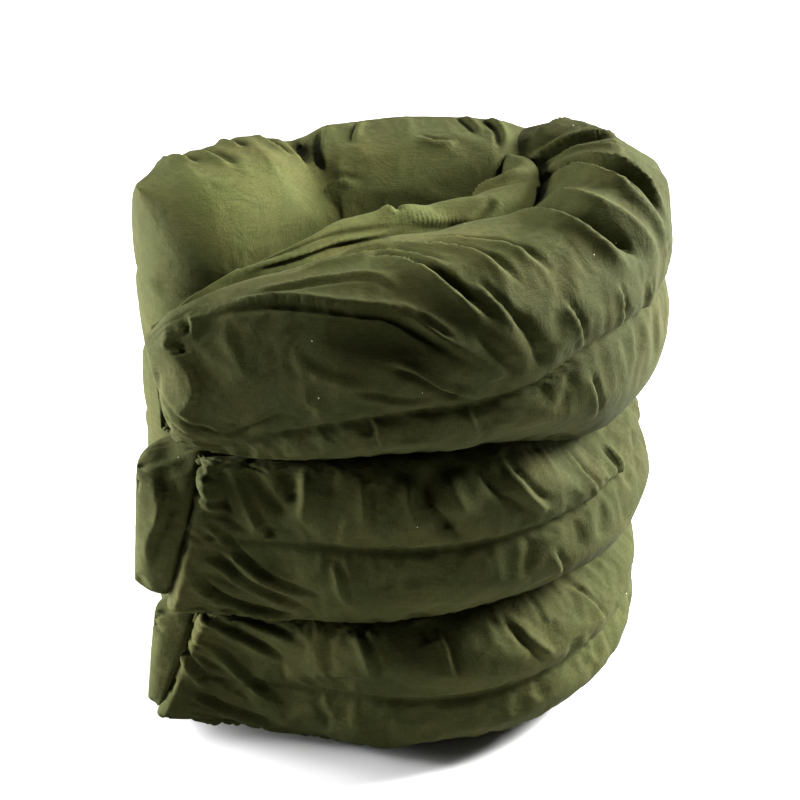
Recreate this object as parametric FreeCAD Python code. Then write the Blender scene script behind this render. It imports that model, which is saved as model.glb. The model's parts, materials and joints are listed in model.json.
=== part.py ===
import FreeCAD, Part
import os
from math import cos, radians, sin

Vector = FreeCAD.Vector
os.makedirs("parts", exist_ok=True)

# A quilted far-infrared wrap, folded double end to end, curled into a C and stood on
# its long edge. Millimetres, +Z up, the front of the C towards -Y, and the origin at
# the bottom centre of the box round the whole object.
#
# A vertical slit runs between the two leaves of the fold. Every shape follows the
# slit's plan line: back section, bend, right side, front, and out at the mouth.
# Offsets from that line are positive outwards and negative towards the hollow.

# ---- driving dimensions: stacked rows, bottom to top ----
ROW_LEVELS = {"bottom": (0.0, 140.0), "middle": (141.0, 309.5), "top": (310.5, 484.0)}
BACK_RISE = 16.0                 # the top row stands this much taller behind
OUTER_THICK = {"bottom": 64.0, "middle": 72.0, "top": 88.0}
INNER_THICK = {"bottom": 66.0, "middle": 68.0, "top": 90.0}
BACK_INNER_THICK = {"bottom": 66.0, "middle": 68.0, "top": 74.0}
FOLD_THICK = {"bottom": 68.0, "middle": 71.0, "top": 75.0}
ROW_ROUNDING = 0.42              # corner radius of a row, as a share of its thickness
SLIT = 16.0                      # air between the two leaves

# ---- driving dimensions: plan of the slit ----
BACK_LENGTH = 194.0              # between the two vertical creases
RIGHT_BEND = 40.0                # turn of the wall at the right crease, degrees
LEFT_BEND = 30.0                 # turn of the wall at the left crease, degrees
SIDE_RADIUS = 120.0              # right side of the C
CORNER_RADIUS = 172.0            # front right corner of the C
FOLD_REACH = 112.0               # left crease to the centre of the end fold
CREASE_GAP = 0.5                 # each side of a crease plane
CREASE_STUB = 70.0               # straight run past a crease, before it is trimmed

# ---- driving dimensions: the open end ----
TAPER_START = 62.0               # along the front, from the corner's end
OUTER_REACH = {"bottom": 199.0, "middle": 199.0, "top": 219.0}
INNER_TAPER = 185.0
INNER_REACH = 236.0
TIP_THICK = {"outer": 20.0, "inner": 36.0}
TIP_INSET = {"bottom": 8.0, "middle": 10.0, "top": 28.0}

# ---- driving dimensions: sheets and fittings inside the slit ----
LINING = (4.4, 5.4)              # offsets either side of the slit's middle
FILM = (6.0, 7.2)
RIBBON = (6.0, 7.4)
STRIP = (2.6, 4.2)
LABEL = (3.6, 4.1)
LINING_LEVELS = (14.0, 436.0)
FILM_LEVELS = (44.0, 424.0)
RIBBON_LEVELS = (24.0, 34.0)
STRIP_LEVELS = (40.0, 404.0)
LABEL_LEVELS = (60.0, 105.0)
LINING_REACH = 120.0             # along the front, from the corner's end
FILM_REACH = 112.0
STRIP_REACH = (92.0, 117.0)
LABEL_REACH = (58.0, 88.0)
CUTOUT_SIZE = (22.0, 5.0, 9.0)   # along the wall, into the padding, upright
SENSOR_SIZE = (14.0, 4.0, 6.0)
CUTOUT_ALONG = 40.0              # along the front, from the corner's end
SENSOR_ALONG = 30.0
FIT_GAP = 0.4                    # round a fitting in its pocket
INLET_REACH = (136.0, 172.0)
INLET_DEPTH = (4.4, 17.0)
INLET_LEVELS = (48.0, 72.0)
INLET_HOLE = 1.8                 # radius of each contact hole
CONTACT_BORE = 1.1
CONTACT_LENGTH = 12.0
CONTACT_PITCH = 9.0

HALF_SLIT = SLIT / 2
WALL_OUT = HALF_SLIT + OUTER_THICK["top"]
TALLEST = ROW_LEVELS["top"][1] + BACK_RISE


# ---- plan of the slit, first with the left crease at (0, 0), then centred ----

def unit(heading):
    return Vector(cos(radians(heading)), sin(radians(heading)), 0)


def left_of(heading):
    return unit(heading + 90)


def arc_end(point, heading, radius, turn):
    """End of a clockwise arc."""
    centre = point - left_of(heading) * radius
    return centre + left_of(heading - turn) * radius


def plan_box(left_crease):
    """Lowest and highest corner of the wall's plan."""
    fold = left_crease - unit(LEFT_BEND) * FOLD_REACH
    right = left_crease + Vector(BACK_LENGTH, 0, 0)
    side_end = arc_end(right, -RIGHT_BEND, SIDE_RADIUS, 90 - RIGHT_BEND)
    front = side_end.y - CORNER_RADIUS
    low = Vector(fold.x - HALF_SLIT - FOLD_THICK["top"], front - WALL_OUT, 0)
    high = Vector(side_end.x + WALL_OUT, left_crease.y + WALL_OUT, 0)
    return low, high


BOX_LOW, BOX_HIGH = plan_box(Vector(0, 0, 0))
LEFT_CREASE = (BOX_LOW + BOX_HIGH) * -0.5
RIGHT_CREASE = LEFT_CREASE + Vector(BACK_LENGTH, 0, 0)
FOLD_CENTRE = LEFT_CREASE - unit(LEFT_BEND) * FOLD_REACH
SIDE_END = arc_end(RIGHT_CREASE, -RIGHT_BEND, SIDE_RADIUS, 90 - RIGHT_BEND)
FRONT_START = arc_end(SIDE_END, -90, CORNER_RADIUS, 90)
FRONT = -180.0                   # heading of the straight front


# ---- shapes swept along the plan ----

def upright_face(point, heading, offsets, levels, corner=0.0):
    """A rectangle square to the path, with rounded corners if asked."""
    near, far = sorted(offsets)
    low, high = levels
    side = left_of(heading)

    def at(across, up):
        return point + side * across + Vector(0, 0, up)

    if corner == 0.0:
        ring = [at(near, low), at(far, low), at(far, high), at(near, high), at(near, low)]
        return Part.Face(Part.makePolygon(ring))
    centres = ((near + corner, low + corner, 180), (far - corner, low + corner, 270),
               (far - corner, high - corner, 0), (near + corner, high - corner, 90))
    arcs = []
    for across, up, start in centres:
        turned = [at(across + corner * cos(radians(start + step)),
                     up + corner * sin(radians(start + step))) for step in (0, 45, 90)]
        arcs.append(turned)
    edges = []
    for here, following in zip(arcs, arcs[1:] + arcs[:1]):
        edges.append(Part.Arc(*here).toShape())
        edges.append(Part.LineSegment(here[2], following[0]).toShape())
    return Part.Face(Part.Wire(edges))


def straight(point, heading, length, offsets, levels, corner=0.0):
    return upright_face(point, heading, offsets, levels, corner).extrude(unit(heading) * length)


def bend(point, heading, radius, turn, offsets, levels, corner=0.0):
    """A clockwise bend."""
    centre = point - left_of(heading) * radius
    face = upright_face(point, heading, offsets, levels, corner)
    return face.revolve(centre, Vector(0, 0, 1), -turn)


def joined(pieces):
    return pieces[0].fuse(pieces[1:]).removeSplitter().Solids[0]


def crease_block(point, heading, ahead):
    """The space on one side of a crease plane, just round the wall."""
    length, reach = 130.0, WALL_OUT / cos(radians(RIGHT_BEND / 2)) + 20.0
    start = -CREASE_GAP if ahead else CREASE_GAP - length
    block = Part.makeBox(length, 2 * reach, TALLEST + 40, Vector(start, -reach, -20))
    block.rotate(Vector(0, 0, 0), Vector(0, 0, 1), heading)
    block.translate(point)
    return block


RIGHT_PLANE = -RIGHT_BEND / 2
LEFT_PLANE = LEFT_BEND / 2


def back_wall(offsets, levels, corner=0.0):
    start = LEFT_CREASE - Vector(CREASE_STUB, 0, 0)
    wall = straight(start, 0, BACK_LENGTH + 2 * CREASE_STUB, offsets, levels, corner)
    wall = wall.cut(crease_block(LEFT_CREASE, LEFT_PLANE, ahead=False))
    return wall.cut(crease_block(RIGHT_CREASE, RIGHT_PLANE, ahead=True)).Solids[0]


def side_wall(offsets, levels, corner=0.0):
    """From the right crease round to the start of the straight front."""
    stub = RIGHT_CREASE - unit(-RIGHT_BEND) * CREASE_STUB
    run = straight(stub, -RIGHT_BEND, CREASE_STUB, offsets, levels, corner)
    side = bend(RIGHT_CREASE, -RIGHT_BEND, SIDE_RADIUS, 90 - RIGHT_BEND, offsets, levels, corner)
    block = crease_block(RIGHT_CREASE, RIGHT_PLANE, ahead=False)
    pieces = [run.cut(block), side.cut(block)]
    pieces.append(bend(SIDE_END, -90, CORNER_RADIUS, 90, offsets, levels, corner))
    return [piece for piece in pieces if piece.Solids]


def front_run(reach, offsets, levels, corner=0.0):
    first, last = reach
    start = FRONT_START + unit(FRONT) * first
    return straight(start, FRONT, last - first, offsets, levels, corner)


def front_wall(reach, offsets, levels):
    return joined(side_wall(offsets, levels) + [front_run((0, reach), offsets, levels)])


def fold_wall(thickness, levels, corner=0.0, inner_edge=HALF_SLIT):
    """Both leaves of the left section and the half turn that joins them."""
    edges = (inner_edge, inner_edge + thickness)
    mirrored = (-edges[0], -edges[1])
    length = FOLD_REACH + CREASE_STUB
    turn = upright_face(FOLD_CENTRE, LEFT_BEND, edges, levels, corner)
    turn = turn.revolve(FOLD_CENTRE, Vector(0, 0, 1), 180)
    block = crease_block(LEFT_CREASE, LEFT_PLANE, ahead=True)
    legs = [straight(FOLD_CENTRE, LEFT_BEND, length, side, levels, corner).cut(block)
            for side in (edges, mirrored)]
    return joined([legs[0], turn, legs[1]])


# ---- padded rows ----

def tapered_tip(leaf, row, first, last, offsets, levels, corner):
    """The sewn end of a row, where its padding thins out."""
    inset = TIP_INSET[row]
    sign = 1 if leaf == "outer" else -1
    tip_offsets = (sign * HALF_SLIT, sign * (HALF_SLIT + TIP_THICK[leaf]))
    tip_levels = (levels[0] + inset, levels[1] - inset)
    start = upright_face(FRONT_START + unit(FRONT) * first, FRONT, offsets, levels, corner)
    end = upright_face(FRONT_START + unit(FRONT) * last, FRONT, tip_offsets, tip_levels,
                       TIP_THICK[leaf] * ROW_ROUNDING)
    return Part.makeLoft([start.OuterWire, end.OuterWire], True, True)


def front_row(leaf, row):
    levels = ROW_LEVELS[row]
    if leaf == "outer":
        thick, first, last = OUTER_THICK[row], TAPER_START, OUTER_REACH[row]
        offsets = (HALF_SLIT, HALF_SLIT + thick)
    else:
        thick, first, last = INNER_THICK[row], INNER_TAPER, INNER_REACH
        offsets = (-HALF_SLIT, -HALF_SLIT - thick)
    corner = thick * ROW_ROUNDING
    pieces = side_wall(offsets, levels, corner)
    pieces.append(front_run((0, first), offsets, levels, corner))
    pieces.append(tapered_tip(leaf, row, first, last, offsets, levels, corner))
    return joined(pieces)


def back_levels(row):
    low, high = ROW_LEVELS[row]
    return (low, high + BACK_RISE) if row == "top" else (low, high)


def back_row(leaf, row):
    thick = OUTER_THICK[row] if leaf == "outer" else BACK_INNER_THICK[row]
    sign = 1 if leaf == "outer" else -1
    offsets = (sign * HALF_SLIT, sign * (HALF_SLIT + thick))
    return back_wall(offsets, back_levels(row), thick * ROW_ROUNDING)


# ---- fittings let into the padding ----

def row_middle(row):
    low, high = ROW_LEVELS[row]
    return (low + high) / 2


def front_block(along, size, sign, up, grow=0.0):
    """A block in the front wall's padding, against the film."""
    length, depth, height = size
    inner = HALF_SLIT - grow
    offsets = (sign * inner, sign * (inner + depth + 2 * grow))
    levels = (up - height / 2 - grow, up + height / 2 + grow)
    return front_run((along - length / 2 - grow, along + length / 2 + grow), offsets, levels)


def back_block(along, size, up, grow=0.0):
    """A block in the back wall's inner leaf."""
    length, depth, height = size
    start = LEFT_CREASE + Vector(along - length / 2 - grow, 0, 0)
    offsets = (-HALF_SLIT + grow, -HALF_SLIT - depth - grow)
    levels = (up - height / 2 - grow, up + height / 2 + grow)
    return straight(start, 0, length + 2 * grow, offsets, levels)


def inlet_envelope(grow=0.0):
    reach = (INLET_REACH[0] - grow, INLET_REACH[1] + grow)
    offsets = (INLET_DEPTH[0] - grow, INLET_DEPTH[1] + grow)
    levels = (INLET_LEVELS[0] - grow, INLET_LEVELS[1] + grow)
    return front_run(reach, offsets, levels)


def contact_centres():
    mouth = FRONT_START + unit(FRONT) * INLET_REACH[1]
    depth = left_of(FRONT) * (sum(INLET_DEPTH) / 2)
    middle = Vector(0, 0, sum(INLET_LEVELS) / 2)
    return [mouth + depth + middle + Vector(0, 0, step * CONTACT_PITCH / 2) for step in (-1, 1)]


def power_inlet_housing():
    housing = inlet_envelope()
    for centre in contact_centres():
        start = centre - unit(FRONT) * CONTACT_LENGTH
        housing = housing.cut(Part.makeCylinder(INLET_HOLE, CONTACT_LENGTH, start, unit(FRONT)))
    return housing


def power_inlet_contacts():
    """Two brass sleeves, each set in its hole."""
    sleeves = []
    for centre in contact_centres():
        start = centre - unit(FRONT) * CONTACT_LENGTH
        sleeve = Part.makeCylinder(INLET_HOLE, CONTACT_LENGTH - 1.0, start, unit(FRONT))
        bore = Part.makeCylinder(CONTACT_BORE, CONTACT_LENGTH, start, unit(FRONT))
        sleeves.append(sleeve.cut(bore))
    return Part.makeCompound(sleeves)


# ---- every node ----

def opposite(offsets):
    return (-offsets[0], -offsets[1])


def padded_rows():
    nodes = {}
    for row in ROW_LEVELS:
        for leaf in ("outer", "inner"):
            nodes["front_%s_row_%s" % (leaf, row)] = front_row(leaf, row)
            nodes["back_%s_row_%s" % (leaf, row)] = back_row(leaf, row)
        levels = back_levels(row)
        thick = FOLD_THICK[row]
        nodes["left_folded_row_%s" % row] = fold_wall(thick, levels, thick * ROW_ROUNDING)
    return nodes


def thin_sheets():
    nodes = {}
    kinds = (("lining", LINING, LINING_LEVELS, LINING_REACH),
             ("heating_film", FILM, FILM_LEVELS, FILM_REACH),
             ("wiring_ribbon", RIBBON, RIBBON_LEVELS, FILM_REACH))
    for kind, offsets, levels, reach in kinds:
        nodes["front_outer_" + kind] = front_wall(reach, offsets, levels)
        nodes["back_outer_" + kind] = back_wall(offsets, levels)
        if kind != "wiring_ribbon":
            nodes["front_inner_" + kind] = front_wall(reach, opposite(offsets), levels)
            nodes["back_inner_" + kind] = back_wall(opposite(offsets), levels)
        nodes["left_folded_" + kind] = fold_wall(offsets[1] - offsets[0], levels,
                                                 inner_edge=offsets[0])
    nodes["hook_strip"] = front_run(STRIP_REACH, STRIP, STRIP_LEVELS)
    nodes["loop_strip"] = front_run(STRIP_REACH, opposite(STRIP), STRIP_LEVELS)
    nodes["blank_label"] = front_run(LABEL_REACH, opposite(LABEL), LABEL_LEVELS)
    return nodes


def let_in(nodes, host, block, size_and_place):
    """Make a fitting and its pocket in a padded row."""
    nodes[host] = nodes[host].cut(block(*size_and_place, grow=FIT_GAP))
    return block(*size_and_place)


def fittings(nodes):
    front, back = [], []
    for row in ROW_LEVELS:
        up = row_middle(row)
        place = (CUTOUT_ALONG, CUTOUT_SIZE, 1, up)
        front.append(let_in(nodes, "front_outer_row_" + row, front_block, place))
        place = (BACK_LENGTH / 2, CUTOUT_SIZE, up)
        back.append(let_in(nodes, "back_inner_row_" + row, back_block, place))
    nodes["front_thermal_cutouts"] = Part.makeCompound(front)
    nodes["back_thermal_cutouts"] = Part.makeCompound(back)
    place = (SENSOR_ALONG, SENSOR_SIZE, -1, row_middle("middle"))
    nodes["temperature_sensor"] = let_in(nodes, "front_inner_row_middle", front_block, place)
    for host in ("front_outer_row_bottom", "front_outer_lining"):
        nodes[host] = nodes[host].cut(inlet_envelope(FIT_GAP))
    nodes["power_inlet_housing"] = power_inlet_housing()
    nodes["power_inlet_contacts"] = power_inlet_contacts()


def all_nodes():
    nodes = padded_rows()
    nodes.update(thin_sheets())
    fittings(nodes)
    return nodes


for name, shape in all_nodes().items():
    shape.exportStep("parts/%s.step" % name)
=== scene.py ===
import json
from math import cos, pi, radians, sin

import bpy
import numpy as np
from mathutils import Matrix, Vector

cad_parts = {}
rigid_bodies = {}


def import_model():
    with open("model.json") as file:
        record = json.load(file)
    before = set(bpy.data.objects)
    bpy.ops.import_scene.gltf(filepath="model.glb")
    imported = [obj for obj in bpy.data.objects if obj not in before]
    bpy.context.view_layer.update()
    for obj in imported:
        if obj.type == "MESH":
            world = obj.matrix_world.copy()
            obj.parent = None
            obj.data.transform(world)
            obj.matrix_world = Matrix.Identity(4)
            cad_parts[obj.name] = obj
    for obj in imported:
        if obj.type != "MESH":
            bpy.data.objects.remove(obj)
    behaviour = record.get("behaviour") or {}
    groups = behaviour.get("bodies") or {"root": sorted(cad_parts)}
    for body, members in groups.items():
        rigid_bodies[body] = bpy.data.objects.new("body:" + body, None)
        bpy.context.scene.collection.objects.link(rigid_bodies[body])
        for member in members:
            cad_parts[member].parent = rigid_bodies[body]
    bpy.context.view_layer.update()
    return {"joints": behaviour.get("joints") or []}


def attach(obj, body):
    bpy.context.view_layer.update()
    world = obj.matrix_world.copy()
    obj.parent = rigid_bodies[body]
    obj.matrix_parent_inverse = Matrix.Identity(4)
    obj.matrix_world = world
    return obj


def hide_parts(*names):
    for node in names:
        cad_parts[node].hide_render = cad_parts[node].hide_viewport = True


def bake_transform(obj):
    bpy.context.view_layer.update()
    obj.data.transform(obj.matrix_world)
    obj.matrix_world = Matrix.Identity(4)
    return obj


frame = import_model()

# ---------------------------------------------------------------------------
# Plan of the wall. Metres, the CAD frame. The slit between the two leaves is the
# line that everything follows, from the end fold round to the open mouth.
# ---------------------------------------------------------------------------

LEFT_BEND, RIGHT_BEND = radians(30), radians(40)
SIDE_RADIUS, CORNER_RADIUS = 0.120, 0.172
FOLD_REACH, BACK_LENGTH, FRONT_LENGTH = 0.112, 0.194, 0.250
WALL_OUT = 0.096
STEP = 0.001
CREASE_EASE = 0.026              # how far a crease's turn is spread along the wall

joints = {joint["name"]: joint for joint in frame["joints"]}


def crease_point(joint, tilt):
    """The slit's point at a crease, from the hinge on the wall's outer face."""
    x, y, _ = joints[joint]["pos_m"]
    reach = WALL_OUT / cos(tilt)
    return np.array((x + sin(tilt) * reach, y - cos(tilt) * reach))


LEFT_CREASE = crease_point("left_crease", LEFT_BEND / 2)
FOLD = LEFT_CREASE - FOLD_REACH * np.array((cos(LEFT_BEND), sin(LEFT_BEND)))
Q_LEFT = FOLD_REACH
Q_RIGHT = Q_LEFT + BACK_LENGTH
Q_SIDE = Q_RIGHT + SIDE_RADIUS * (pi / 2 - RIGHT_BEND)
Q_FRONT = Q_SIDE + CORNER_RADIUS * pi / 2
Q_END = Q_FRONT + FRONT_LENGTH


def wall_plan():
    """Points and headings of the slit, one each STEP along it."""
    q = np.arange(0, Q_END + STEP, STEP)
    heading = np.where(q < Q_LEFT, LEFT_BEND, 0.0)
    side = -RIGHT_BEND - (q - Q_RIGHT) / SIDE_RADIUS
    corner = -pi / 2 - (q - Q_SIDE) / CORNER_RADIUS
    heading = np.where(q > Q_RIGHT, side, heading)
    heading = np.where(q > Q_SIDE, corner, heading)
    heading = np.where(q > Q_FRONT, -pi, heading)
    reach = int(3 * CREASE_EASE / STEP)
    kernel = np.exp(-0.5 * (np.arange(-reach, reach + 1) * STEP / CREASE_EASE) ** 2)
    kernel /= kernel.sum()
    heading = np.convolve(np.pad(heading, reach, mode="edge"), kernel, mode="valid")
    steps = np.stack((np.cos(heading), np.sin(heading)), axis=1) * STEP
    points = FOLD + np.concatenate((np.zeros((1, 2)), np.cumsum(steps, axis=0)[:-1]))
    return q, points, heading


PLAN_Q, PLAN_POINTS, PLAN_HEADING = wall_plan()


def on_wall(q):
    """Point and outward normal of the slit at distance q from the end fold."""
    heading = np.interp(q, PLAN_Q, PLAN_HEADING)
    before = np.minimum(q, 0)
    x = np.interp(q, PLAN_Q, PLAN_POINTS[:, 0]) + before * cos(LEFT_BEND)
    y = np.interp(q, PLAN_Q, PLAN_POINTS[:, 1]) + before * sin(LEFT_BEND)
    return np.stack((x, y), axis=-1), np.stack((-np.sin(heading), np.cos(heading)), axis=-1)


def hump(x, centre, width):
    """A smooth hump of height 1."""
    return np.exp(-((x - centre) / width) ** 2)


def ramp(x, start, end):
    """A smooth step from 0 at start to 1 at end."""
    t = np.clip((x - start) / (end - start), 0, 1)
    return t * t * (3 - 2 * t)


# ---------------------------------------------------------------------------
# Padded tubes. Each row has three: a lobe round the end fold and along the back,
# a front tube from the right crease to the mouth, and the inner leaf's front tube.
# A tube is a grid: sections along the wall, each a ring of points.
# ---------------------------------------------------------------------------

ALONG = 0.0045                   # spacing of sections
RING = 110                       # points round a section
OUTER_END = {"bottom": 0.205, "middle": 0.190, "top": 0.211}      # past the front's start
INNER_END = {"bottom": 0.231, "middle": 0.235, "top": 0.203}
MOUTH_BEND = 0.027               # how far the slit bends outwards at the mouth
FOLD_END = -0.083                # the end fold's far side, past the fold's centre


class Row:
    def __init__(self, name, low, high, seam, outer, inner, fold, square, lean):
        self.name, self.low, self.high, self.seam = name, low, high, seam
        self.outer, self.inner, self.fold, self.square = outer, inner, fold, square
        self.lean = lean
        self.top = name == "top"


ROWS = (
    Row("bottom", 0.001, 0.143, 0.070, 0.076, 0.068, 0.076, 3.0, 0.40),
    Row("middle", 0.139, 0.313, 0.232, 0.084, 0.070, 0.078, 2.6, 0.25),
    Row("top", 0.305, 0.490, 0.386, 0.098, 0.074, 0.080, 2.35, -0.18),
)


def smooth_curve(x, *points):
    """A monotone cubic through given points, level past its ends."""
    xs, ys = (np.array(part, float) for part in zip(*points))
    slope = np.diff(ys) / np.diff(xs)
    tangent = np.zeros_like(xs)
    both = slope[1:] * slope[:-1] > 0
    mean = 2 * slope[1:] * slope[:-1] / np.where(both, slope[1:] + slope[:-1], 1)
    tangent[1:-1] = np.where(both, mean, 0)
    x = np.clip(x, xs[0], xs[-1])
    k = np.clip(np.searchsorted(xs, x) - 1, 0, len(slope) - 1)
    width = xs[k + 1] - xs[k]
    t = (x - xs[k]) / width
    return ((1 + 2 * t) * (1 - t) ** 2 * ys[k] + t * (1 - t) ** 2 * width * tangent[k]
            + t * t * (3 - 2 * t) * ys[k + 1] - t * t * (1 - t) * width * tangent[k + 1])


def spline(x, xs, ys):
    """A smooth line through the points, with the slope of its neighbours at each."""
    if len(xs) == 2:
        return np.interp(x, xs, ys)
    slope = np.gradient(np.asarray(ys, float), xs)
    k = np.clip(np.searchsorted(xs, x) - 1, 0, len(xs) - 2)
    t = x - xs[k]
    return ((1 + 2 * t) * (1 - t) ** 2 * ys[k] + t * (1 - t) ** 2 * slope[k]
            + t * t * (3 - 2 * t) * ys[k + 1] - t * t * (1 - t) * slope[k + 1])


def rounded(distance, radius, power=2.3):
    """Rises from 0 at an end to 1 a radius away, as a stuffed end does."""
    t = 1 - np.clip(distance / radius, 0, 1)
    return (1 - t ** power) ** (1 / power)


def sections(start, end, round_start, round_end):
    """Places along a tube, closer together where its ends round off."""
    turns = np.linspace(0, pi / 2, 9)
    head = start + round_start * (1 - np.cos(turns))
    tail = end - round_end * (1 - np.cos(turns[::-1]))
    count = max(2, round((tail[0] - head[-1]) / ALONG) + 1)
    return np.concatenate((head[:-1], np.linspace(head[-1], tail[0], count), tail[1:]))


def lobe_shape(row):
    """The end fold and the back: offsets and levels of the tube's sides along it."""
    end = Q_RIGHT + 0.030
    q = sections(FOLD_END, end, 0.050, 0.030)
    share = ramp(q, 0.0, Q_LEFT - 0.02)
    out = row.fold * (1 - share) + row.outer * share
    inn = -row.fold * (1 - share) - row.inner * share
    size = (0.02 + 0.98 * rounded(q - FOLD_END, 0.080, 2.1))
    size = size * (0.30 + 0.70 * rounded(end - q, 0.050))
    out, inn = out * size, inn * size
    low, high = np.full_like(q, row.low), np.full_like(q, row.high)
    if row.top:
        high = smooth_curve(q, (FOLD_END, 0.478), (-0.03, 0.490), (0.04, 0.494), (0.072, 0.485),
                            (0.096, 0.477), (0.128, 0.491), (0.20, 0.501), (0.28, 0.498),
                            (end, 0.482))
        out = out - 0.012 * share * ramp(q, Q_LEFT, Q_LEFT + 0.05)
    return q, inn, out, low, high


def seam_dip(q):
    """How far the lines between rows dip on the right-hand side."""
    return smooth_curve(q, (Q_RIGHT, 0.0), (Q_SIDE, 1.0), (0.50, 1.0), (0.62, 0.0))


def levels(row, q):
    """The row's bottom and top, where the lines between rows dip."""
    low, high = np.full_like(q, row.low), np.full_like(q, row.high)
    low = low - (0.034 if row.top else 0.006) * seam_dip(q) * (row.low > 0.01)
    high = high - (0.006 if row.name == "bottom" else 0.034) * seam_dip(q) * (not row.top)
    return low, high


def quilting(row, q):
    """Height of the row's middle seam."""
    if not row.top:
        return np.full_like(q, row.seam)
    return smooth_curve(q, (0.0, 0.386), (0.30, 0.386), (0.42, 0.398), (0.55, 0.404),
                        (0.60, 0.386), (0.68, 0.375), (0.765, 0.352), (0.86, 0.325))


def slit(q):
    """Where the slit between the leaves lies in the top row, off the wall's middle."""
    return smooth_curve(q, (0.34, -0.030), (0.43, -0.036), (0.50, -0.050), (0.58, -0.086),
                        (0.66, -0.088), (0.76, -0.040), (0.82, -0.016), (0.86, 0.008),
                        (0.90, 0.026))


def front_shape(row):
    """From the right crease round to the mouth."""
    start = Q_RIGHT - 0.020
    end = Q_FRONT + OUTER_END[row.name]
    q = sections(start, end, 0.030, 0.045)
    low, high = levels(row, q)
    taper = ramp(q, Q_FRONT + 0.01, end)
    if row.top:
        out = smooth_curve(q, (start, 0.080), (0.345, 0.097), (0.42, 0.098), (0.50, 0.094),
                           (0.62, 0.100), (0.70, 0.098), (0.78, 0.084), (0.85, 0.068),
                           (end, 0.058))
        inn = slit(q) - 0.012 * (1 - ramp(q, 0.66, 0.76))
        low = low + 0.012 * ramp(q, 0.80, end)
        high = smooth_curve(q, (start, 0.488), (0.345, 0.508), (0.40, 0.511), (0.46, 0.502),
                            (0.56, 0.494), (0.68, 0.488), (0.78, 0.472), (0.86, 0.448),
                            (end, 0.428))
    else:
        out = row.outer + (0.024 if row.name == "bottom" else 0.007) * hump(q, 0.61, 0.13)
        out = out * (1 - taper) + (0.056 if row.name == "middle" else 0.046) * taper
        share = ramp(q, Q_SIDE + 0.12, Q_FRONT + 0.05)
        inn = -row.inner * (1 - share) + (0.001 + MOUTH_BEND * taper) * share
        high = high - 0.006 * taper
        low = low + (0.004 if row.name == "middle" else 0.014) * taper
    close = rounded(end - q, 0.034 if row.top else 0.012)
    out = inn + (out - inn) * (0.10 + 0.90 * close) * (0.55 + 0.45 * rounded(q - start, 0.055))
    middle = (low + high) / 2
    squeeze = 0.86 + 0.14 * close if row.top else 0.96 + 0.04 * close
    return q, inn, out, middle + (low - middle) * squeeze, middle + (high - middle) * squeeze


def inner_shape(row):
    """The inner leaf's free part, from where it comes out of the wall to the mouth."""
    start = Q_RIGHT - 0.020 if row.top else Q_SIDE + 0.150
    end = Q_FRONT + INNER_END[row.name]
    q = sections(start, end, 0.030, 0.040)
    low, high = levels(row, q)
    if row.top:
        out = slit(q) + 0.012 * (1 - ramp(q, 0.66, 0.76))
        out = out + 0.020 * (1 - ramp(q, start, start + 0.06))
        inn = smooth_curve(q, (start, -0.060), (0.37, -0.066), (0.41, -0.084), (0.47, -0.108),
                           (0.59, -0.124), (0.68, -0.116), (0.724, -0.102), (0.76, -0.064),
                           (0.80, -0.040), (0.84, -0.010), (end, 0.000))
        high = smooth_curve(q, (start, 0.484), (0.38, 0.494), (0.48, 0.486), (0.58, 0.482),
                            (0.66, 0.486), (0.72, 0.484), (0.78, 0.470), (0.84, 0.450),
                            (end, 0.428))
        low = low + 0.040 * ramp(q, 0.76, end)
    else:
        out = smooth_curve(q, (start, -0.040), (Q_FRONT + 0.03, -0.001), (end, -0.001))
        out = out + MOUTH_BEND * ramp(q, Q_FRONT + 0.01, Q_FRONT + 0.20)
        edge = Q_FRONT + OUTER_END[row.name]
        step = 0.025 if row.name == "middle" else 0.016
        out = out + step * ramp(q, edge - 0.010, edge + 0.003)
        inn = smooth_curve(q, (start, -row.inner), (end - 0.10, -row.inner), (end, -0.050))
        low = low + 0.003 + 0.010 * ramp(q, end - 0.06, end)
        high = high - 0.004 - 0.010 * ramp(q, end - 0.06, end)
    close = rounded(end - q, 0.030 if row.top else 0.042) * rounded(q - start, 0.040)
    out = out + 0.004 * row.top
    if not row.top:
        middle, squeeze = (low + high) / 2, 0.82 + 0.18 * close
        low, high = middle + (low - middle) * squeeze, middle + (high - middle) * squeeze
    centre = out + (inn - out) * (0.0 if row.top else 0.25)
    inn = centre + (inn - centre) * (0.12 + 0.88 * close)
    out = centre + (out - centre) * (0.12 + 0.88 * close)
    return q, inn, out, low, high


def squircle(angle, power):
    """A point on a round-cornered square of half-width 1."""
    c, s = np.cos(angle), np.sin(angle)
    return np.sign(c) * np.abs(c) ** (2 / power), np.sign(s) * np.abs(s) ** (2 / power)


def round_angles(width, height, power):
    """Angles that space points evenly round a section."""
    fine = np.linspace(0, 2 * pi, 4001)
    across, up = squircle(fine, power)
    ring = np.stack((across * width / 2, up * height / 2), axis=1)
    length = np.concatenate(([0], np.cumsum(np.linalg.norm(np.diff(ring, axis=0), axis=1))))
    return np.interp(np.linspace(0, length[-1], RING + 1)[:-1], length, fine)


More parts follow.
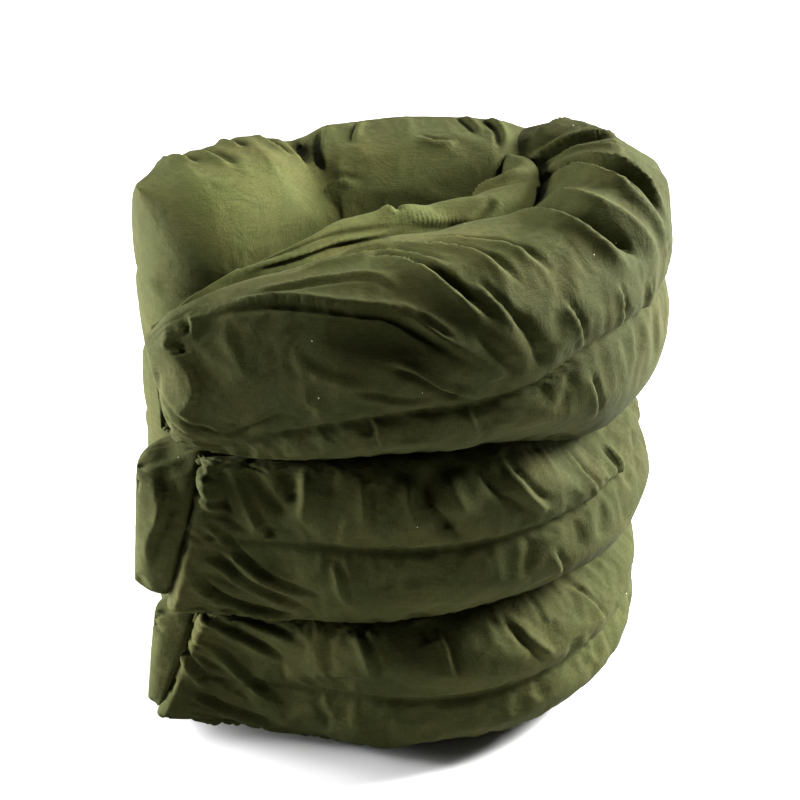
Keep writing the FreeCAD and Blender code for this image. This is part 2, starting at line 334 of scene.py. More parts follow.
class Tube:
    """A tube's grid of points, with each point's place round its section.

    turn is how far round a point is: 0 at the middle of the outer face, 0.25 on top,
    0.5 at the middle of the inner face and 0.75 underneath.
    """

    def __init__(self, name, row, shape):
        self.name, self.row = name, row
        q, inn, out, low, high = (part[:, None] for part in shape(row))
        angles = round_angles(float(np.median(out - inn)), row.high - row.low, row.square)
        across, up = squircle(angles, row.square)
        size = (len(q), RING)
        self.across = np.broadcast_to(across, size).copy()
        self.up = np.broadcast_to(up, size).copy()
        z = (low + high) / 2 + (high - low) / 2 * up
        leaning = row.lean * ramp(q, Q_FRONT + 0.06, Q_FRONT + 0.19)
        if shape is inner_shape and not row.top:
            leaning = leaning * (1 - 0.7 * ramp(q, Q_FRONT + 0.20, q.max()))
        self.q = q + leaning * ((row.low + row.high) / 2 - z)
        seam = quilting(row, q)
        valley = np.exp(-np.abs(z - seam) / 0.014)
        depth = (0.0 if shape is inner_shape else 0.012) * ramp(out - inn, 0.01, 0.09)
        self.n = (inn + out) / 2 + (out - inn) / 2 * across - valley * self.across * depth
        point, normal = on_wall(self.q)
        self.grid = np.concatenate((point + normal * self.n[..., None], z[..., None]), axis=2)

    @property
    def z(self):
        return self.grid[..., 2]

    def normals(self):
        along = np.gradient(self.grid, axis=0)
        round_it = np.roll(self.grid, -1, 1) - np.roll(self.grid, 1, 1)
        normal = np.cross(round_it, along)
        return normal / np.maximum(np.linalg.norm(normal, axis=2, keepdims=True), 1e-9)

    def finer(self):
        """Doubles the grid, by cubic interpolation both ways."""
        for field in ("across", "up", "q", "n", "grid"):
            values = getattr(self, field)
            before, after = np.roll(values, 1, 1), np.roll(values, -1, 1)
            half = (9 * (values + after) - before - np.roll(values, -2, 1)) / 16
            values = np.stack((values, half), axis=2).reshape(
                (values.shape[0], -1) + values.shape[2:])
            first, last = values[:1], values[-1:]
            padded = np.concatenate((2 * first - values[1:2], values, 2 * last - values[-2:-1]))
            half = (9 * (padded[1:-2] + padded[2:-1]) - padded[:-3] - padded[3:]) / 16
            whole = np.empty((2 * len(values) - 1,) + values.shape[1:])
            whole[0::2], whole[1::2] = values, half
            setattr(self, field, whole)

    def at(self, q, turn):
        """The point at a place along the tube and round it."""
        ring = self.grid.shape[1]
        column = (turn % 1) * ring
        k, share = int(column) % ring, column % 1
        ends = []
        for column in (k, (k + 1) % ring):
            line = self.q[:, column]
            ends.append([np.interp(q, line, self.grid[:, column, axis]) for axis in range(3)])
        return (1 - share) * np.array(ends[0]) + share * np.array(ends[1])

    def path(self, points, step=0.004):
        """Evenly spaced surface points along a smooth line through (q, turn) places."""
        places = np.array(points, float)
        marks = np.arange(len(places))
        fine = np.linspace(0, len(places) - 1, 12 * (len(places) - 1) + 1)
        places = np.stack([spline(fine, marks, places[:, k]) for k in (0, 1)], axis=1)
        line = np.array([self.at(q, turn) for q, turn in places])
        length = np.concatenate(([0], np.cumsum(np.linalg.norm(np.diff(line, axis=0), axis=1))))
        even = np.linspace(0, length[-1], max(3, int(length[-1] / step) + 1))
        return np.stack([np.interp(even, length, line[:, k]) for k in range(3)], axis=1)

    def fold(self, points, height, width, valley=0.0, side=1, fade=0.3):
        """A ridge along a line through (q, turn) places; see press."""
        self.press(self.path(points), height, width, valley, side, fade)

    def press(self, line, height, width, valley=0.0, side=1, fade=0.3):
        """A ridge along a line of points, or a groove where height is negative.

        valley sinks the cloth along one side of the ridge, as under an overlapping fold.
        Each is drawn a little larger than asked, since the grid is too coarse for a crest.
        fade is the share of the line over which each end dies away.
        """
        reach = 4.0 * width
        flat, normals = self.grid.reshape(-1, 3), self.surface.reshape(-1, 3)
        near = np.all((flat > line.min(axis=0) - reach) & (flat < line.max(axis=0) + reach), axis=1)
        near = np.flatnonzero(near)
        if not len(near):
            return
        away = flat[near, None, :] - line[None]
        gap = np.linalg.norm(away, axis=2)
        closest = gap.argmin(axis=1)
        gap, away = gap.min(axis=1), away[np.arange(len(near)), closest]
        ahead = np.gradient(line, axis=0)[closest]
        turned = np.einsum("ij,ij->i", np.cross(ahead, away), normals[near])
        gap = gap * np.where(turned > 0, 1, -1) * side
        share = closest / (len(line) - 1)
        strength = ramp(share, 0, fade) * ramp(1 - share, 0, fade)
        width = width * 1.15
        lift = 1.4 * height * np.exp(-(np.abs(gap) / width) ** 1.4)
        lift = lift - 1.5 * valley * np.exp(-((gap - 1.15 * width) / (0.60 * width)) ** 2)
        self.move.reshape(-1)[near] += lift * strength

    def begin(self):
        self.surface = self.normals()
        self.move = np.zeros(self.grid.shape[:2])

    def settle(self):
        """Moves the points out by what has been gathered since begin()."""
        self.grid = self.grid + self.surface * self.move[..., None]

    def mesh(self):
        sections, ring = self.grid.shape[:2]
        verts = self.grid.reshape(-1, 3)
        index = np.arange(sections * ring).reshape(sections, ring)
        a, b = index[:-1], index[1:]
        faces = np.stack((a, b, np.roll(b, -1, 1), np.roll(a, -1, 1)), axis=-1)
        faces = faces.reshape(-1, 4).tolist()
        verts = np.concatenate((verts, [self.grid[0].mean(axis=0), self.grid[-1].mean(axis=0)]))
        first, last = len(verts) - 2, len(verts) - 1
        for k in range(ring):
            following = (k + 1) % ring
            faces.append((first, int(index[0, k]), int(index[0, following])))
            faces.append((last, int(index[-1, following]), int(index[-1, k])))
        mesh = bpy.data.meshes.new(self.name)
        mesh.from_pydata(verts.tolist(), [], faces)
        mesh.update()
        mesh.shade_smooth()
        return mesh


def add(name, mesh):
    piece = bpy.data.objects.new(name, mesh)
    bpy.context.scene.collection.objects.link(piece)
    return piece


# ---------------------------------------------------------------------------
# Cloth. Each tube is blown up a little between its seams, with more cloth than the
# shape needs, so that it wrinkles; the wrinkles are kept and the bulging is not.
# ---------------------------------------------------------------------------

SPARE_CLOTH = 0.035
PRESSURE = 3.5
FRAMES = 18


def blurred(field, size):
    """The field smoothed over some sections and ring points."""
    weights = np.exp(-0.5 * (np.arange(-3 * size, 3 * size + 1) / size) ** 2)
    weights /= weights.sum()
    total = np.zeros_like(field)
    for k, weight in zip(range(-3 * size, 3 * size + 1), weights):
        total += weight * np.roll(field, k, axis=1)
    edge = np.pad(total, ((3 * size, 3 * size), (0, 0), (0, 0)), mode="edge")
    rows = len(field)
    return sum(weight * edge[k:k + rows] for k, weight in enumerate(weights))


def held_points(tube):
    """Seam points: the middle seam on both faces, the edges between rows, both ends."""
    ring = tube.grid.shape[1]
    seam = quilting(tube.row, tube.q)
    held = np.abs(tube.z - seam) < 0.0030
    for turn in (0.205, 0.795) if tube.row.top else (0.205, 0.295, 0.705, 0.795):
        held[:, int(turn * ring)] = True
    held[0], held[-1] = True, True
    return held


def wrinkle(tube):
    """Simulates the tube's cloth for a moment and keeps the wrinkles."""
    piece = add("cloth", tube.mesh())
    group = piece.vertex_groups.new(name="held")
    count = tube.grid.shape[0] * tube.grid.shape[1]
    group.add(np.flatnonzero(held_points(tube).ravel()).tolist() + [count, count + 1], 1.0, "ADD")
    cloth = piece.modifiers.new("cloth", "CLOTH")
    settings = cloth.settings
    settings.quality = 5
    settings.mass = 0.25
    settings.tension_stiffness = settings.compression_stiffness = 14
    settings.shear_stiffness = 6
    settings.bending_stiffness = 1.2
    settings.use_pressure = True
    settings.uniform_pressure_force = PRESSURE
    settings.shrink_min = -SPARE_CLOTH
    settings.vertex_group_mass = "held"
    settings.effector_weights.gravity = 0
    cloth.point_cache.frame_start, cloth.point_cache.frame_end = 1, FRAMES
    for frame_number in range(1, FRAMES + 1):
        bpy.context.scene.frame_set(frame_number)
    result = piece.evaluated_get(bpy.context.evaluated_depsgraph_get()).data
    points = np.empty(3 * len(result.vertices))
    result.vertices.foreach_get("co", points)
    bpy.data.objects.remove(piece)
    bpy.context.scene.frame_set(1)
    moved = points.reshape(-1, 3)[:count].reshape(tube.grid.shape) - tube.grid
    keep = 0.15 if tube.name == "inner_tube_top" else 0.32 if tube.row.top else 0.45
    moved = keep * (moved - 0.85 * blurred(moved, 6))
    size = np.linalg.norm(moved, axis=2, keepdims=True)
    tube.grid = tube.grid + moved * np.minimum(1, 0.009 / np.maximum(size, 1e-9))


# ---------------------------------------------------------------------------
# Materials
# ---------------------------------------------------------------------------

def nodes_of(name):
    mat = bpy.data.materials.new(name)
    mat.use_nodes = True
    tree = mat.node_tree

    def make(kind, **values):
        node = tree.nodes.new(kind)
        for key, value in values.items():
            if hasattr(node, key):
                setattr(node, key, value)
            else:
                node.inputs[key.replace("_", " ")].default_value = value
        return node

    return mat, tree, make, tree.nodes["Principled BSDF"]


def cotton():
    """Olive cotton: uneven dye, a fine weave, faint creases, a few bits of lint."""
    mat, tree, make, shader = nodes_of("olive_cotton")
    link = tree.links.new
    place = make("ShaderNodeTexCoord").outputs["Object"]

    # dye, in large patches and small ones
    dye = make("ShaderNodeTexNoise", Scale=7.0, Detail=4.0)
    link(place, dye.inputs["Vector"])
    tones = make("ShaderNodeValToRGB")
    tones.color_ramp.elements[0].position = 0.30
    tones.color_ramp.elements[0].color = (0.0205, 0.0225, 0.0056, 1)
    tones.color_ramp.elements[1].position = 0.72
    tones.color_ramp.elements[1].color = (0.0335, 0.0348, 0.0100, 1)
    link(dye.outputs["Fac"], tones.inputs["Fac"])
    wear = make("ShaderNodeTexNoise", Scale=23.0, Detail=5.0)
    link(place, wear.inputs["Vector"])
    patches = make("ShaderNodeValToRGB")
    patches.color_ramp.elements[0].position = 0.42
    patches.color_ramp.elements[0].color = (0.95, 1.01, 0.98, 1)
    patches.color_ramp.elements[1].position = 0.64
    patches.color_ramp.elements[1].color = (1.13, 1.07, 1.10, 1)
    link(wear.outputs["Fac"], patches.inputs["Fac"])
    dyed = make("ShaderNodeVectorMath", operation="MULTIPLY")
    link(tones.outputs["Color"], dyed.inputs[0])
    link(patches.outputs["Color"], dyed.inputs[1])

    # weave, as yarns one way and the other
    threads = []
    for stretch in ((110, 110, 950), (950, 950, 110)):
        lengthened = make("ShaderNodeVectorMath", operation="MULTIPLY")
        link(place, lengthened.inputs[0])
        lengthened.inputs[1].default_value = stretch
        yarn = make("ShaderNodeTexNoise", Scale=1.0, Detail=2.0)
        link(lengthened.outputs["Vector"], yarn.inputs["Vector"])
        threads.append(yarn.outputs["Fac"])
    grain = make("ShaderNodeMath", operation="ADD")
    link(threads[0], grain.inputs[0])
    link(threads[1], grain.inputs[1])
    shade = make("ShaderNodeMapRange")
    shade.inputs["From Min"].default_value = 0.6
    shade.inputs["From Max"].default_value = 1.4
    shade.inputs["To Min"].default_value = 0.72
    shade.inputs["To Max"].default_value = 1.28
    link(grain.outputs["Value"], shade.inputs["Value"])
    body = make("ShaderNodeVectorMath", operation="SCALE")
    link(dyed.outputs["Vector"], body.inputs[0])
    link(shade.outputs["Result"], body.inputs["Scale"])

    # lint
    cells = make("ShaderNodeTexVoronoi", Scale=46.0)
    link(place, cells.inputs["Vector"])
    speck = make("ShaderNodeMath", operation="LESS_THAN")
    speck.inputs[1].default_value = 0.028
    link(cells.outputs["Distance"], speck.inputs[0])
    chosen = make("ShaderNodeSeparateColor")
    link(cells.outputs["Color"], chosen.inputs["Color"])
    few = make("ShaderNodeMath", operation="GREATER_THAN")
    few.inputs[1].default_value = 0.72
    link(chosen.outputs["Red"], few.inputs[0])
    lint = make("ShaderNodeMath", operation="MULTIPLY")
    link(speck.outputs["Value"], lint.inputs[0])
    link(few.outputs["Value"], lint.inputs[1])
    mix = make("ShaderNodeMix", data_type="RGBA")
    sockets = {socket.identifier: socket for socket in (*mix.inputs, *mix.outputs)}
    link(lint.outputs["Value"], sockets["Factor_Float"])
    link(body.outputs["Vector"], sockets["A_Color"])
    sockets["B_Color"].default_value = (0.42, 0.42, 0.30, 1)
    link(sockets["Result_Color"], shader.inputs["Base Color"])

    # creases, crumples and weave as bumps, one on top of the other
    crumple = make("ShaderNodeTexNoise", Scale=34.0, Detail=6.0, Roughness=0.6, Distortion=0.6)
    link(place, crumple.inputs["Vector"])
    soft = make("ShaderNodeBump", Strength=0.45, Distance=0.0045)
    link(crumple.outputs["Fac"], soft.inputs["Height"])
    creases = make("ShaderNodeTexNoise", noise_type="RIDGED_MULTIFRACTAL", Scale=8.0,
                   Detail=3.0, Roughness=0.5, Distortion=0.7)
    link(place, creases.inputs["Vector"])
    crisp = make("ShaderNodeBump", Strength=0.5, Distance=0.004)
    link(creases.outputs["Fac"], crisp.inputs["Height"])
    link(crisp.outputs["Normal"], soft.inputs["Normal"])
    weave = make("ShaderNodeBump", Strength=0.4, Distance=0.0006)
    link(grain.outputs["Value"], weave.inputs["Height"])
    link(soft.outputs["Normal"], weave.inputs["Normal"])
    link(weave.outputs["Normal"], shader.inputs["Normal"])
    shader.inputs["Roughness"].default_value = 0.88
    shader.inputs["Specular IOR Level"].default_value = 0.06
    return mat


COTTON = cotton()


def grained(name, colour, roughness, scale, depth=0.0004, spread=0.12, **uniform):
    """A material whose colour varies a little from place to place, with a fine bump."""
    mat, tree, make, shader = nodes_of(name)
    place = make("ShaderNodeTexCoord").outputs["Object"]
    noise = make("ShaderNodeTexNoise", Scale=scale, Detail=3.0)
    tree.links.new(place, noise.inputs["Vector"])
    tones = make("ShaderNodeValToRGB")
    for element, factor in zip(tones.color_ramp.elements, (1 - spread, 1 + spread)):
        element.color = (*[part * factor for part in colour], 1)
    tree.links.new(noise.outputs["Fac"], tones.inputs["Fac"])
    tree.links.new(tones.outputs["Color"], shader.inputs["Base Color"])
    bump_node = make("ShaderNodeBump", Strength=0.3, Distance=depth)
    tree.links.new(noise.outputs["Fac"], bump_node.inputs["Height"])
    tree.links.new(bump_node.outputs["Normal"], shader.inputs["Normal"])
    shader.inputs["Roughness"].default_value = roughness
    for key, value in uniform.items():
        shader.inputs[key.capitalize()].default_value = value
    return mat


INSIDES = (
    ("lining", grained("dark_lining", (0.020, 0.021, 0.018), 0.55, 180)),
    ("heating_film", grained("film", (0.030, 0.030, 0.032), 0.35, 60)),
    ("wiring_ribbon", grained("ribbon", (0.45, 0.43, 0.38), 0.60, 400)),
    ("hook_strip", grained("hook_strip", (0.030, 0.034, 0.014), 0.80, 700, 0.0010)),
    ("loop_strip", grained("loop_strip", (0.036, 0.040, 0.018), 0.95, 500, 0.0012)),
    ("blank_label", grained("label", (0.62, 0.60, 0.55), 0.75, 300)),
    ("thermal_cutouts", grained("cutout_case", (0.55, 0.52, 0.44), 0.45, 90)),
    ("temperature_sensor", grained("sensor_case", (0.06, 0.06, 0.06), 0.40, 90)),
    ("inlet_housing", grained("inlet_plastic", (0.020, 0.020, 0.021), 0.42, 250)),
    ("inlet_contacts", grained("contact_brass", (0.72, 0.52, 0.24), 0.28, 120, metallic=1.0)),
)


def finish_insides():
    """Gives the fittings and layers from the CAD their materials."""
    for piece in list(bpy.data.objects):
        for ending, material in INSIDES:
            if piece.type == "MESH" and piece.name.endswith(ending):
                piece.data.materials.clear()
                piece.data.materials.append(material)


# ---------------------------------------------------------------------------
# Folds. Each is (points, height, width, valley, side); a point is (q, turn).
# ---------------------------------------------------------------------------

FOLDS = {
    "front_tube_top": (
        # sweeping folds from the snout over the front
        (((0.85, 0.20), (0.78, 0.19), (0.72, 0.16), (0.68, 0.14), (0.655, 0.10), (0.625, 0.04)),
         0.0065, 0.0055, 0.0050, -1),
        (((0.735, 0.12), (0.69, 0.10), (0.660, 0.07)), -0.0060, 0.0110, 0, 1),
        (((0.81, 0.225), (0.75, 0.225), (0.70, 0.205), (0.67, 0.165)), 0.0030, 0.0042, 0.0028, -1),
        (((0.77, 0.280), (0.70, 0.262), (0.66, 0.235), (0.635, 0.19)), 0.0032, 0.0042, 0.0030, 1),
        (((0.628, 0.175), (0.617, 0.13), (0.607, 0.08)), 0.0026, 0.0040, 0.0026, 1),
        (((0.690, 0.155), (0.665, 0.135), (0.640, 0.09)), 0.0026, 0.0040, 0.0026, -1),
        (((0.720, 0.01), (0.680, -0.015), (0.655, -0.015)), 0.0018, 0.0040, 0.0016, 1),
        (((0.690, 0.07), (0.668, 0.045), (0.648, 0.005), (0.630, -0.02)),
         0.0045, 0.0045, 0.0060, -1),
        (((0.710, 0.26), (0.670, 0.215), (0.648, 0.175), (0.622, 0.10)),
         0.0050, 0.0052, 0.0075, 1),
        (((0.78, 0.26), (0.71, 0.285), (0.65, 0.26), (0.618, 0.22), (0.598, 0.14)),
         0.0048, 0.0052, 0.0065, 1),
        (((0.655, 0.30), (0.620, 0.27), (0.590, 0.22), (0.575, 0.15)), 0.0035, 0.005, 0.005, 1),
        (((0.611, 0.13), (0.602, 0.08), (0.592, 0.015)), -0.0050, 0.0050, 0, 1),
        (((0.636, 0.105), (0.622, 0.06), (0.606, 0.01)), -0.0040, 0.0048, 0, 1),
        (((0.575, 0.12), (0.568, 0.07), (0.562, 0.02)), 0.0030, 0.0045, 0.003, 1),
        (((0.530, 0.11), (0.527, 0.07), (0.525, 0.03)), 0.0030, 0.0045, 0.003, 1),
        (((0.490, 0.08), (0.489, 0.05), (0.488, 0.02)), 0.0030, 0.0045, 0.003, 1),
        (((0.770, 0.09), (0.740, 0.045), (0.695, 0.015)), 0.0018, 0.0070, 0.0006, 1),
        (((0.640, -0.03), (0.632, -0.08), (0.630, -0.12)), 0.0025, 0.0050, 0.003, 1),
        (((0.700, -0.03), (0.695, -0.07), (0.690, -0.12)), 0.0022, 0.0050, 0.0025, -1),
        (((0.560, -0.01), (0.552, -0.06), (0.548, -0.10)), 0.0025, 0.0050, 0.003, 1),
        # nested ridges where the wall turns, along its top
        (((0.41, 0.38), (0.428, 0.31), (0.448, 0.25), (0.462, 0.18), (0.462, 0.12), (0.455, 0.06)),
         0.0085, 0.0075, 0.0100, 1),
        (((0.500, 0.35), (0.507, 0.28), (0.514, 0.235), (0.510, 0.18), (0.492, 0.10)),
         -0.0120, 0.0050, 0, 1),
        (((0.487, 0.34), (0.490, 0.27), (0.494, 0.22), (0.486, 0.16), (0.474, 0.08)),
         0.0075, 0.0085, 0, 1),
        (((0.535, 0.32), (0.532, 0.27), (0.530, 0.22), (0.522, 0.16), (0.510, 0.10)),
         0.0070, 0.0080, 0.0020, 1),
        (((0.390, 0.38), (0.412, 0.32), (0.426, 0.25), (0.432, 0.19), (0.436, 0.10)),
         0.0080, 0.0060, 0.0100, -1),
        (((0.342, 0.39), (0.362, 0.33), (0.372, 0.27), (0.376, 0.19)), 0.0065, 0.0052, 0.009, -1),
        (((0.388, 0.35), (0.398, 0.28), (0.403, 0.20)), 0.0050, 0.0055, 0.005, 1),
        (((0.330, 0.36), (0.340, 0.30), (0.345, 0.24), (0.348, 0.18)), -0.0060, 0.005, 0, 1),
        (((0.320, 0.31), (0.326, 0.26), (0.330, 0.20)), 0.0050, 0.0050, 0.004, 1),
        (((0.360, 0.12), (0.395, 0.13), (0.430, 0.12)), 0.0060, 0.0150, 0, 1),
        # the snout: a dimple, the bent edge and the gathers at its end
        (((0.868, 0.145), (0.862, 0.12), (0.860, 0.095)), -0.0045, 0.0036, 0, 1),
        (((0.874, 0.20), (0.872, 0.16), (0.874, 0.12)), 0.0022, 0.0030, 0.0022, 1),
        (((0.856, 0.21), (0.850, 0.17), (0.852, 0.13)), 0.0024, 0.0032, 0.0024, -1),
        (((0.866, 0.10), (0.852, 0.05), (0.852, 0.00), (0.866, -0.05)),
         0.0022, 0.0036, 0.0024, 1),
        (((0.882, 0.06), (0.874, -0.01), (0.858, -0.06), (0.828, -0.085), (0.80, -0.05),
          (0.765, -0.005)), 0.0022, 0.0034, 0.0026, -1),
        (((0.888, 0.12), (0.884, 0.06), (0.886, -0.02), (0.880, -0.07)),
         -0.0030, 0.0030, 0, 1),
        (((0.880, -0.03), (0.870, -0.08), (0.846, -0.12)), 0.0020, 0.0032, 0.002, -1),
        (((0.836, 0.16), (0.815, 0.10), (0.800, 0.03)), 0.0012, 0.0070, 0, 1),
        (((0.825, 0.17), (0.795, 0.14), (0.755, 0.12)), 0.0016, 0.0070, 0.0006, 1),
    ),
    "front_tube_middle": (
        (((0.660, 0.20), (0.659, 0.15), (0.656, 0.10), (0.646, 0.05), (0.636, 0.02)),
         -0.0110, 0.0048, 0, 1),
        (((0.645, 0.17), (0.643, 0.12), (0.634, 0.07)), 0.0055, 0.0070, 0, 1),
        (((0.674, 0.17), (0.672, 0.11), (0.662, 0.05)), 0.0045, 0.0060, 0, 1),
        (((0.628, 0.18), (0.616, 0.12), (0.602, 0.08), (0.585, 0.04)), -0.0070, 0.0048, 0, 1),
        (((0.608, 0.17), (0.596, 0.10), (0.578, 0.05)), 0.0045, 0.0060, 0.003, 1),
        (((0.778, 0.20), (0.774, 0.14), (0.765, 0.09)), -0.0065, 0.0060, 0, 1),
        (((0.760, 0.19), (0.757, 0.12), (0.762, 0.06)), 0.0040, 0.0060, 0, 1),
        (((0.815, 0.21), (0.806, 0.15), (0.790, 0.10), (0.77, 0.07)), -0.0055, 0.0055, 0, 1),
        (((0.838, 0.21), (0.832, 0.13), (0.828, 0.05)), -0.0070, 0.0040, 0, 1),
        (((0.848, 0.21), (0.846, 0.13), (0.842, 0.05)), 0.0040, 0.0040, 0, 1),
        (((0.862, 0.17), (0.856, 0.10), (0.855, 0.04)), -0.0040, 0.0040, 0, 1),
        (((0.820, 0.18), (0.815, 0.11), (0.800, 0.04), (0.785, 0.01)), 0.0040, 0.0045, 0.003, 1),
        (((0.858, 0.06), (0.838, 0.02), (0.815, -0.04), (0.780, -0.08), (0.740, -0.10)),
         0.0040, 0.0048, 0.0048, 1),
        (((0.872, -0.04), (0.850, -0.12), (0.810, -0.17), (0.755, -0.19)),
         0.0040, 0.0050, 0.0048, 1),
        (((0.862, 0.00), (0.838, -0.05), (0.805, -0.10), (0.75, -0.15)), 0.003, 0.005, 0.0035, 1),
        (((0.735, -0.005), (0.728, -0.05), (0.722, -0.10)), 0.0028, 0.0045, 0.003, 1),
        (((0.545, 0.18), (0.540, 0.10), (0.532, 0.04)), 0.0030, 0.0055, 0.003, 1),
        (((0.500, 0.16), (0.498, 0.10), (0.497, 0.04)), 0.0030, 0.0050, 0.003, -1),
        (((0.710, 0.17), (0.706, 0.12), (0.705, 0.06)), 0.0025, 0.0050, 0.003, 1),
        (((0.580, -0.02), (0.570, -0.08), (0.566, -0.13)), 0.0025, 0.0050, 0.003, 1),
    ),
    "front_tube_bottom": (
        (((0.888, 0.07), (0.870, 0.00), (0.850, -0.06)), 0.0038, 0.0050, 0.0040, 1),
        (((0.870, 0.19), (0.850, 0.13), (0.820, 0.09), (0.78, 0.05)), 0.0040, 0.0048, 0.0045, 1),
        (((0.858, 0.21), (0.835, 0.17), (0.800, 0.13), (0.76, 0.10)), 0.0035, 0.0050, 0.004, 1),
        (((0.874, 0.10), (0.845, 0.05), (0.815, -0.02), (0.78, -0.07)), 0.0034, 0.005, 0.004, 1),
        (((0.888, -0.03), (0.862, -0.09), (0.820, -0.13), (0.77, -0.16)), 0.003, 0.006, 0.0035, 1),
        (((0.72, 0.18), (0.705, 0.10), (0.70, 0.04)), 0.0032, 0.0050, 0.0034, 1),
        (((0.655, 0.18), (0.648, 0.12), (0.645, 0.05)), 0.0030, 0.0050, 0.003, 1),
        (((0.60, 0.18), (0.59, 0.10), (0.575, 0.04)), 0.0030, 0.0055, 0.0030, -1),
        (((0.540, 0.17), (0.532, 0.10), (0.527, 0.04)), 0.0030, 0.0050, 0.0030, 1),
    ),
    "inner_tube_middle": (
        (((0.895, 0.18), (0.890, 0.10), (0.892, 0.02)), 0.0025, 0.0045, 0.0025, 1),
        (((0.880, 0.18), (0.884, 0.10), (0.900, 0.00), (0.905, -0.10)), 0.0025, 0.005, 0.003, 1),
    ),
    "inner_tube_top": (
        (((0.70, 0.24), (0.655, 0.26), (0.60, 0.29), (0.54, 0.27), (0.48, 0.22), (0.43, 0.20)),
         0.0030, 0.0100, 0.0, -1),
        (((0.590, 0.36), (0.545, 0.32), (0.495, 0.29)), 0.0060, 0.0050, 0.0045, 1),
        (((0.530, 0.36), (0.485, 0.31), (0.430, 0.27)), 0.0060, 0.0050, 0.0045, 1),
        (((0.475, 0.34), (0.440, 0.28), (0.400, 0.23)), 0.0045, 0.0060, 0.0040, -1),
        (((0.700, 0.31), (0.680, 0.27), (0.668, 0.23)), 0.0030, 0.0050, 0.0035, 1),
        (((0.83, 0.225), (0.78, 0.215), (0.73, 0.20), (0.68, 0.19), (0.65, 0.19)),
         0.0045, 0.0042, 0.0042, 1),
        (((0.81, 0.19), (0.76, 0.18), (0.70, 0.17), (0.64, 0.175)), 0.0038, 0.0042, 0.004, 1),
        (((0.66, 0.215), (0.61, 0.215), (0.56, 0.210), (0.53, 0.205), (0.50, 0.19)),
         0.0034, 0.0060, 0.0020, -1),
        (((0.55, 0.18), (0.520, 0.21), (0.49, 0.235)), 0.0036, 0.0050, 0.003, 1),
    ),
    "back_lobe_top": (
        (((0.085, 0.36), (0.121, 0.37), (0.150, 0.385)), 0.0030, 0.0045, 0.0030, 1),
        (((0.205, 0.30), (0.225, 0.315), (0.245, 0.31)), 0.0028, 0.0040, 0.0028, 1),
        (((0.104, 0.17), (0.096, 0.23), (0.091, 0.27), (0.089, 0.315)), -0.0090, 0.0046, 0, 1),
        (((0.125, 0.20), (0.115, 0.27), (0.108, 0.34)), 0.0040, 0.0050, 0.0040, -1),
        (((0.076, 0.20), (0.080, 0.26), (0.082, 0.33)), 0.0030, 0.0055, 0, 1),
        (((0.058, 0.19), (0.063, 0.25), (0.072, 0.30)), 0.0035, 0.0045, 0.0035, 1),
        (((0.155, 0.20), (0.148, 0.25), (0.145, 0.30)), 0.0028, 0.0045, 0.0028, -1),
        (((-0.046, 0.15), (-0.034, 0.20), (-0.022, 0.26)), 0.0040, 0.0050, 0.0035, 1),
        (((-0.018, 0.19), (-0.004, 0.23), (0.004, 0.30)), 0.0028, 0.0060, 0.0028, 1),
        (((0.020, 0.17), (0.026, 0.21), (0.030, 0.25)), 0.0030, 0.0045, 0.0030, 1),
        (((0.27, 0.20), (0.29, 0.26), (0.30, 0.32)), 0.0035, 0.0050, 0.0035, -1),
        (((0.25, 0.19), (0.262, 0.24), (0.27, 0.28)), 0.0028, 0.0050, 0.0028, -1),
    ),
}


def pucker(tube, rng, line, spacing, length, depth, margin):
    """Short gathers crossing a seam, on both sides of it.

    line gives the seam's turn at q; length is how far a gather reaches, in turns.
    """
    q, last = tube.q.min() + margin, tube.q.max() - 0.016
    while q < last:
        q += spacing * rng.uniform(0.6, 1.5)
        for way in (-1, 1):
            size = length * rng.uniform(0.4, 1.25)
            slant = rng.normal(0, 0.30) * spacing
            start = line(q) + way * 0.006
            points = ((q, start), (q + 0.5 * slant, start + way * size * 0.5),
                      (q + slant, start + way * size))
            tube.press(tube.path(points, 0.005), -depth * rng.uniform(0.3, 1.3),
                       rng.uniform(0.0036, 0.0072), 0.0008, rng.choice((-1, 1)), fade=0.3)


def gather_mouth(tube, rng):
    """Fine folds that fan out from the outer leaf's edge at the mouth."""
    edge = float(tube.q[-1].mean()) - 0.010
    for turn in np.linspace(0.17, -0.17, 11):
        length = rng.uniform(0.025, 0.060)
        turn = turn + rng.uniform(-0.010, 0.010)
        points = ((edge, turn), (edge - 0.5 * length, turn - 0.020),
                  (edge - length, turn - 0.050))
        tube.press(tube.path(points), rng.uniform(0.0012, 0.0026), rng.uniform(0.0030, 0.0042),
                   rng.uniform(0.0012, 0.0026), 1, fade=0.4)


def seam_turn(tube, height):
    """The turn at which the tube's outer face stands at a height, along the tube."""
    ring = tube.grid.shape[1]
    columns = np.arange(-int(0.22 * ring), int(0.22 * ring))
    heights = tube.z[:, columns]
    wanted = height if np.ndim(height) else np.full(len(heights), height)
    turns = [np.interp(h, line, columns / ring) for h, line in zip(wanted, heights)]
    return lambda q: float(np.interp(q, tube.q[:, 0], turns))


def sculpt(tube, rng):
    """Draws the folds, seams and gathers on a tube."""
    row = tube.row
    tube.begin()
    for fold in FOLDS.get(tube.name, ()):
        tube.fold(*fold)
    seam = seam_turn(tube, quilting(row, tube.q[:, 0]))
    margin = 0.060 if tube.name.startswith("back") else 0.016
    if not tube.name.startswith("inner"):
        stops = np.linspace(tube.q[3, 0], tube.q[-4, 0], 25)
        tube.fold([(q, seam(q)) for q in stops], -0.0024, 0.0028, fade=0.02)
        pucker(tube, rng, seam, 0.024, 0.075, 0.0022, margin)
    pucker(tube, rng, lambda q: -0.195, 0.024, 0.060, 0.0022, margin)
    if not row.top:
        pucker(tube, rng, lambda q: 0.200, 0.028, 0.060, 0.0022, margin)
    if tube.name in ("front_tube_middle", "front_tube_bottom"):
        gather_mouth(tube, rng)
    tube.settle()


